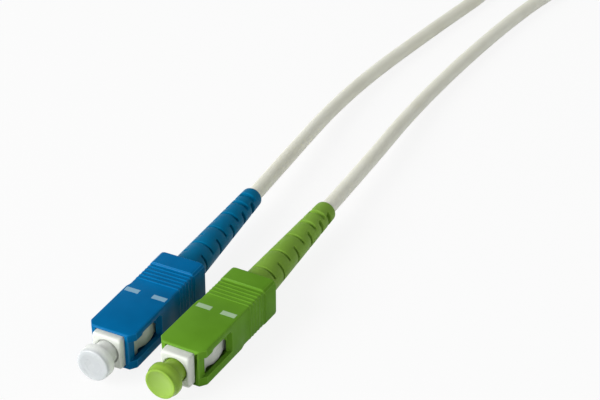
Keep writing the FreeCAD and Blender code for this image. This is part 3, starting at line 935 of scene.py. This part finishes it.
@dataclass
class Cord:
    """The cable: a lead from each boot and the tied coil between them.

    Lengths are in millimetres. Held and eased are the shares of a turn in which it keeps its place in the
    bundle and moves to the next one's.
    """

    diameter: float = 3.0
    centre: tuple[float, float] = COIL_CENTRE
    mean_radius: float = COIL_RADIUS
    pitch: float = 3.05
    base: float = 0.5
    per_turn: int = 16
    turns: float = 5.5
    held: float = 0.7
    eased: float = 0.3
    steps_along: int = 10
    steps_round: int = 8

    def blue_lead(self) -> np.ndarray:
        """Route from the blue boot to the coil, in millimetres."""
        return np.array([(-7.19, 3.09, 4.4), (-9.6, 41.5, 4.4), (-13.6, 79.0, 1.9), (-9.6, 117.0, 1.5),
                         (-5.6, 144.0, 1.5), (-17.0, 166.0, 1.7)])

    def green_lead(self) -> np.ndarray:
        """Route from the coil to the green boot, in millimetres."""
        return np.array([(19.0, 168.0, 4.4), (7.0, 148.0, 1.6), (3.3, 122.0, 1.5), (1.9, 83.0, 1.9),
                         (5.8, 43.0, 4.4), (6.77, 4.20, 4.4)])

    def coil(self) -> np.ndarray:
        """Turns of the coil, wound in two columns and three layers.

        The points go round the centre clockwise. Each turn keeps its own radius and height for seven
        tenths of the way, then eases to those of the next, and the radius is divided by the cosine of
        half a step, so that the curve inside the points has the wanted radius.

        Returns:
            Route points in millimetres.
        """
        outer, inner = self.mean_radius + self.pitch / 2, self.mean_radius - self.pitch / 2
        radii = np.array([outer, inner, inner, outer, inner, outer])
        layers = np.array([0.0, 0.0, 1.0, 1.0, 2.0, 2.0])
        step = np.arange(int(self.turns * self.per_turn) + 1)
        turn, phase = np.divmod(step / self.per_turn, 1.0)
        seat = turn + ease(np.clip((phase - self.held) / self.eased, 0.0, 1.0))
        seats = np.arange(len(radii))
        radius = np.interp(seat, seats, radii) / math.cos(math.pi / self.per_turn)
        layer = np.interp(seat, seats, layers)
        angle = math.pi - 2 * math.pi * step / self.per_turn
        return np.stack([self.centre[0] + radius * np.cos(angle), self.centre[1] + radius * np.sin(angle),
                         self.base + self.pitch * (layer + 0.5)], axis=-1)

    def build(self) -> bpy.types.Object:
        """Makes the cable as one smooth curve with its route as control points.

        Returns:
            The cable.
        """
        route = np.concatenate([self.blue_lead(), self.coil(), self.green_lead()]) * MM
        curve = bpy.data.curves.new("cable", "CURVE")
        curve.dimensions = "3D"
        spline = curve.splines.new("NURBS")
        spline.points.add(len(route) - 1)
        spline.points.foreach_set("co", np.hstack([route, np.ones((len(route), 1))]).ravel())
        spline.order_u = 3
        spline.use_endpoint_u = True
        spline.resolution_u = self.steps_along
        curve.bevel_depth = self.diameter / 2 * MM
        curve.bevel_resolution = self.steps_round
        curve.use_fill_caps = True
        curve.materials.append(JACKET_FINISH.material())
        cable = add_object("cable", curve)
        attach(cable, CORD_BODY)
        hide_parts("cable_lead_blue", "cable_lead_green", "cable_coil")
        return cable


@dataclass
class CoilStrap:
    """Loop strap round the coil's bundle, with its end lapped over its start on top.

    Lengths are in millimetres, the lap is a share of the way round, and the powers shape the section.
    """

    centre: tuple[float, float] = COIL_CENTRE
    mean_radius: float = COIL_RADIUS
    half_across: float = 3.3
    half_tall: float = 4.83
    middle: float = 5.08
    wide: float = 5.8
    thick: float = 0.46
    lap: float = 0.12
    squareness: float = 5.0
    wide_power: float = 0.4
    thick_power: float = 0.7
    steps_along: int = 150
    steps_round: int = 20

    def build(self) -> bpy.types.Object:
        """Carries the strap's flat section round the bundle.

        The path is a superellipse in the bundle's section, run a little more than once round. Over the
        last lap's length of the first turn it eases outwards by the strap's thickness. The section is a
        flatter superellipse: its height goes along the path's normal, its width along the coil's arc, and
        it shrinks to a point at both ends.

        Returns:
            The strap.
        """
        share = np.linspace(0.0, 1.0 + self.lap, self.steps_along)
        turn = math.pi / 2 + 2 * math.pi * (share - self.lap / 2)
        across = self.half_across * signed_power(np.cos(turn), 2 / self.squareness)
        up = self.half_tall * signed_power(np.sin(turn), 2 / self.squareness)
        slope = np.stack([np.gradient(across), np.gradient(up)])
        slope = slope / np.maximum(np.linalg.norm(slope, axis=0), TINY)
        lift = self.thick * ease(np.clip((share - (1 - self.lap)) / self.lap, 0.0, 1.0))
        ring = np.linspace(0, 2 * math.pi, self.steps_round, endpoint=False)
        side = self.wide / 2 * signed_power(np.cos(ring), self.wide_power)
        height = self.thick / 2 * signed_power(np.sin(ring), self.thick_power)
        full = np.ones_like(share)[:, None]
        full[[0, -1]] = 0.0
        out = lift[:, None] + full * height
        radius = self.mean_radius + across[:, None] + out * slope[1][:, None]
        tall = self.middle + up[:, None] - out * slope[0][:, None]
        angle = math.pi / 2 + full * side / self.mean_radius
        grid = np.stack([self.centre[0] + radius * np.cos(angle), self.centre[1] + radius * np.sin(angle),
                         tall], axis=-1) * MM
        strap = grid_object("coil_strap_soft", grid, STRAP_FINISH_AND_HIGHLIGHT.material(), False)
        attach(strap, CORD_BODY)
        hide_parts("coil_strap")
        return strap


@dataclass(frozen=True)
class Lamp:
    """Soft lamp with a square panel: its place and width in metres, its power in watts."""

    name: str
    place: tuple[float, float, float]
    wide: float
    power: float

    def hang(self, aim: tuple[float, float, float]) -> None:
        """Hangs the lamp.

        Args:
            aim: Point that it faces.
        """
        light = bpy.data.lights.new(self.name, "AREA")
        light.size = self.wide
        light.energy = self.power
        thing = add_object(self.name, light)
        thing.location = self.place
        away = np.array(self.place) - np.array(aim)
        flat = math.hypot(away[0], away[1])
        thing.rotation_euler = (math.atan2(flat, away[2]), 0.0, math.atan2(away[1], away[0]) + math.pi / 2)


LAMPS = (Lamp("key", (-0.80, -1.15, 0.77), 0.9, 32.0), Lamp("fill", (0.9, 0.1, 0.5), 0.8, 1.3))


@dataclass
class Studio:
    """Floor, light and camera, in metres and degrees.

    The world's light has one strength up to a low height of the view, and another from a high one on.
    """

    camera_place: tuple[float, float, float] = (0.15470, -0.25552, 0.21260)
    camera_azimuth: float = 118.237
    camera_fall: float = 32.463
    focal_px: float = 2001.0
    picture_px: float = 600.0
    sensor_mm: float = 36.0
    nearest: float = 0.01
    lamp_aim: tuple[float, float, float] = (0.0, 0.02, 0.0)
    floor_white: float = 0.88
    floor_half: float = 3.0
    floor_cloud_mm: float = 300.0
    low: float = 0.1
    low_light: float = 0.8
    high: float = 0.6
    high_light: float = 0.25

    def build(self) -> None:
        """Sets up everything round the object."""
        self.floor()
        self.world()
        for lamp in LAMPS:
            lamp.hang(self.lamp_aim)
        self.camera()
        bpy.context.scene.view_settings.view_transform = "Standard"

    def floor(self) -> None:
        """Lays a plain pale floor, which is seen almost white and keeps a faint shadow."""
        material, tree = new_material("pale_floor")
        place = add_node(tree, "TexCoord").outputs["Object"]
        cloud = add_node(tree, "TexNoise", {"Vector": place, "Scale": 1 / (self.floor_cloud_mm * MM),
                                            "Detail": 3.0})
        tint = add_node(tree, "Mix", {MIX_SHARE: cloud.outputs[0], MIX_FROM: srgb("#e6e6e5"),
                                      MIX_TO: srgb("#e8e8e8")}, data_type="RGBA")
        matt = add_node(tree, "BsdfDiffuse", {"Color": tint.outputs[MIX_RESULT]})
        white = add_node(tree, "Emission", {"Color": srgb("#ffffff"), "Strength": 1.0})
        seen = add_node(tree, "Math", {0: self.seen_rays(tree), 1: self.floor_white}, operation="MULTIPLY")
        pick = add_node(tree, "MixShader", {0: seen.outputs[0], 1: matt.outputs[0], 2: white.outputs[0]})
        add_node(tree, "OutputMaterial", {"Surface": pick.outputs[0]})
        corners = self.floor_half * np.array([(-1, -1, 0), (1, -1, 0), (1, 1, 0), (-1, 1, 0)])
        mesh = bpy.data.meshes.new("floor")
        mesh.from_pydata(corners.tolist(), [], [(0, 1, 2, 3)])
        mesh.materials.append(material)
        add_object("floor", mesh)

    def seen_rays(self, tree: bpy.types.NodeTree) -> bpy.types.NodeSocket:
        """Tells rays that show the background from those that light the object.

        Args:
            tree: Node tree that gets the nodes.

        Returns:
            Socket that is one for camera, glossy and transmission rays, and zero for the rest.
        """
        path = add_node(tree, "LightPath")
        shown = add_node(tree, "Math", {0: path.outputs["Is Camera Ray"], 1: path.outputs["Is Glossy Ray"]},
                         operation="MAXIMUM")
        both = add_node(tree, "Math", {0: shown.outputs[0], 1: path.outputs["Is Transmission Ray"]},
                        operation="MAXIMUM")
        return both.outputs[0]

    def world(self) -> None:
        """Surrounds the scene with soft light, pale at the horizon and dimmer overhead."""
        world = bpy.data.worlds.new("studio")
        bpy.context.scene.world = world
        world.use_nodes = True
        tree = world.node_tree
        tree.nodes.clear()
        toward = add_node(tree, "SeparateXYZ", {0: add_node(tree, "TexCoord").outputs["Generated"]})
        level = add_node(tree, "MapRange", {"Value": toward.outputs["Z"], "From Min": self.low,
                                            "From Max": self.high, "To Min": self.low_light,
                                            "To Max": self.high_light})
        around = add_node(tree, "Background", {"Color": srgb("#fafbfc"), "Strength": level.outputs[0]})
        add_node(tree, "OutputWorld", {"Surface": around.outputs[0]})

    def camera(self) -> None:
        """Puts the camera at the photograph's viewing angle."""
        data = bpy.data.cameras.new("camera")
        data.sensor_fit = "HORIZONTAL"
        data.sensor_width = self.sensor_mm
        data.lens = self.sensor_mm * self.focal_px / self.picture_px
        data.clip_start = self.nearest
        thing = add_object("camera", data)
        thing.location = self.camera_place
        tilt, heading = math.radians(90 - self.camera_fall), math.radians(self.camera_azimuth - 90)
        thing.rotation_euler = (tilt, 0.0, heading)
        bpy.context.scene.camera = thing


GRIPS = {
    Side.BLUE: GripHousing(Side.BLUE),
    Side.GREEN: GripHousing(Side.GREEN, slid_back=0.6, mark_inner=1.05, mark_outer=3.95),
}
CAPS = {
    Side.BLUE: DustCap(Side.BLUE, face=3.1, face_round=0.28, step_round=0.15, dish_deep=0.15,
                       ridge_tall=0.03),
    # The green cap's face gets a painted highlight in its middle.
    Side.GREEN: DustCap(Side.GREEN, dish_deep=0.7, painted_face_highlight=True),
}
BOOTS = {
    Side.BLUE: Boot(Side.BLUE, roll_deg=100.0),
    Side.GREEN: Boot(Side.GREEN, grow=1.035, roll_deg=4.0),
}


def main() -> None:
    """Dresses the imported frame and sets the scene."""
    logging.basicConfig(level=logging.INFO, format="%(name)s: %(message)s")
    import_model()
    Studio().build()
    cable = Cord().build()
    pieces = [cable, CoilStrap().build()]
    for side in Side:
        core = PlugCore(side)
        core.dress()
        pieces += [*core.build(), BOOTS[side].build(), CAPS[side].build(), *GRIPS[side].build()]
    for piece in pieces:
        LOG.info("%s built", piece.name)


if __name__ == "__main__":
    main()
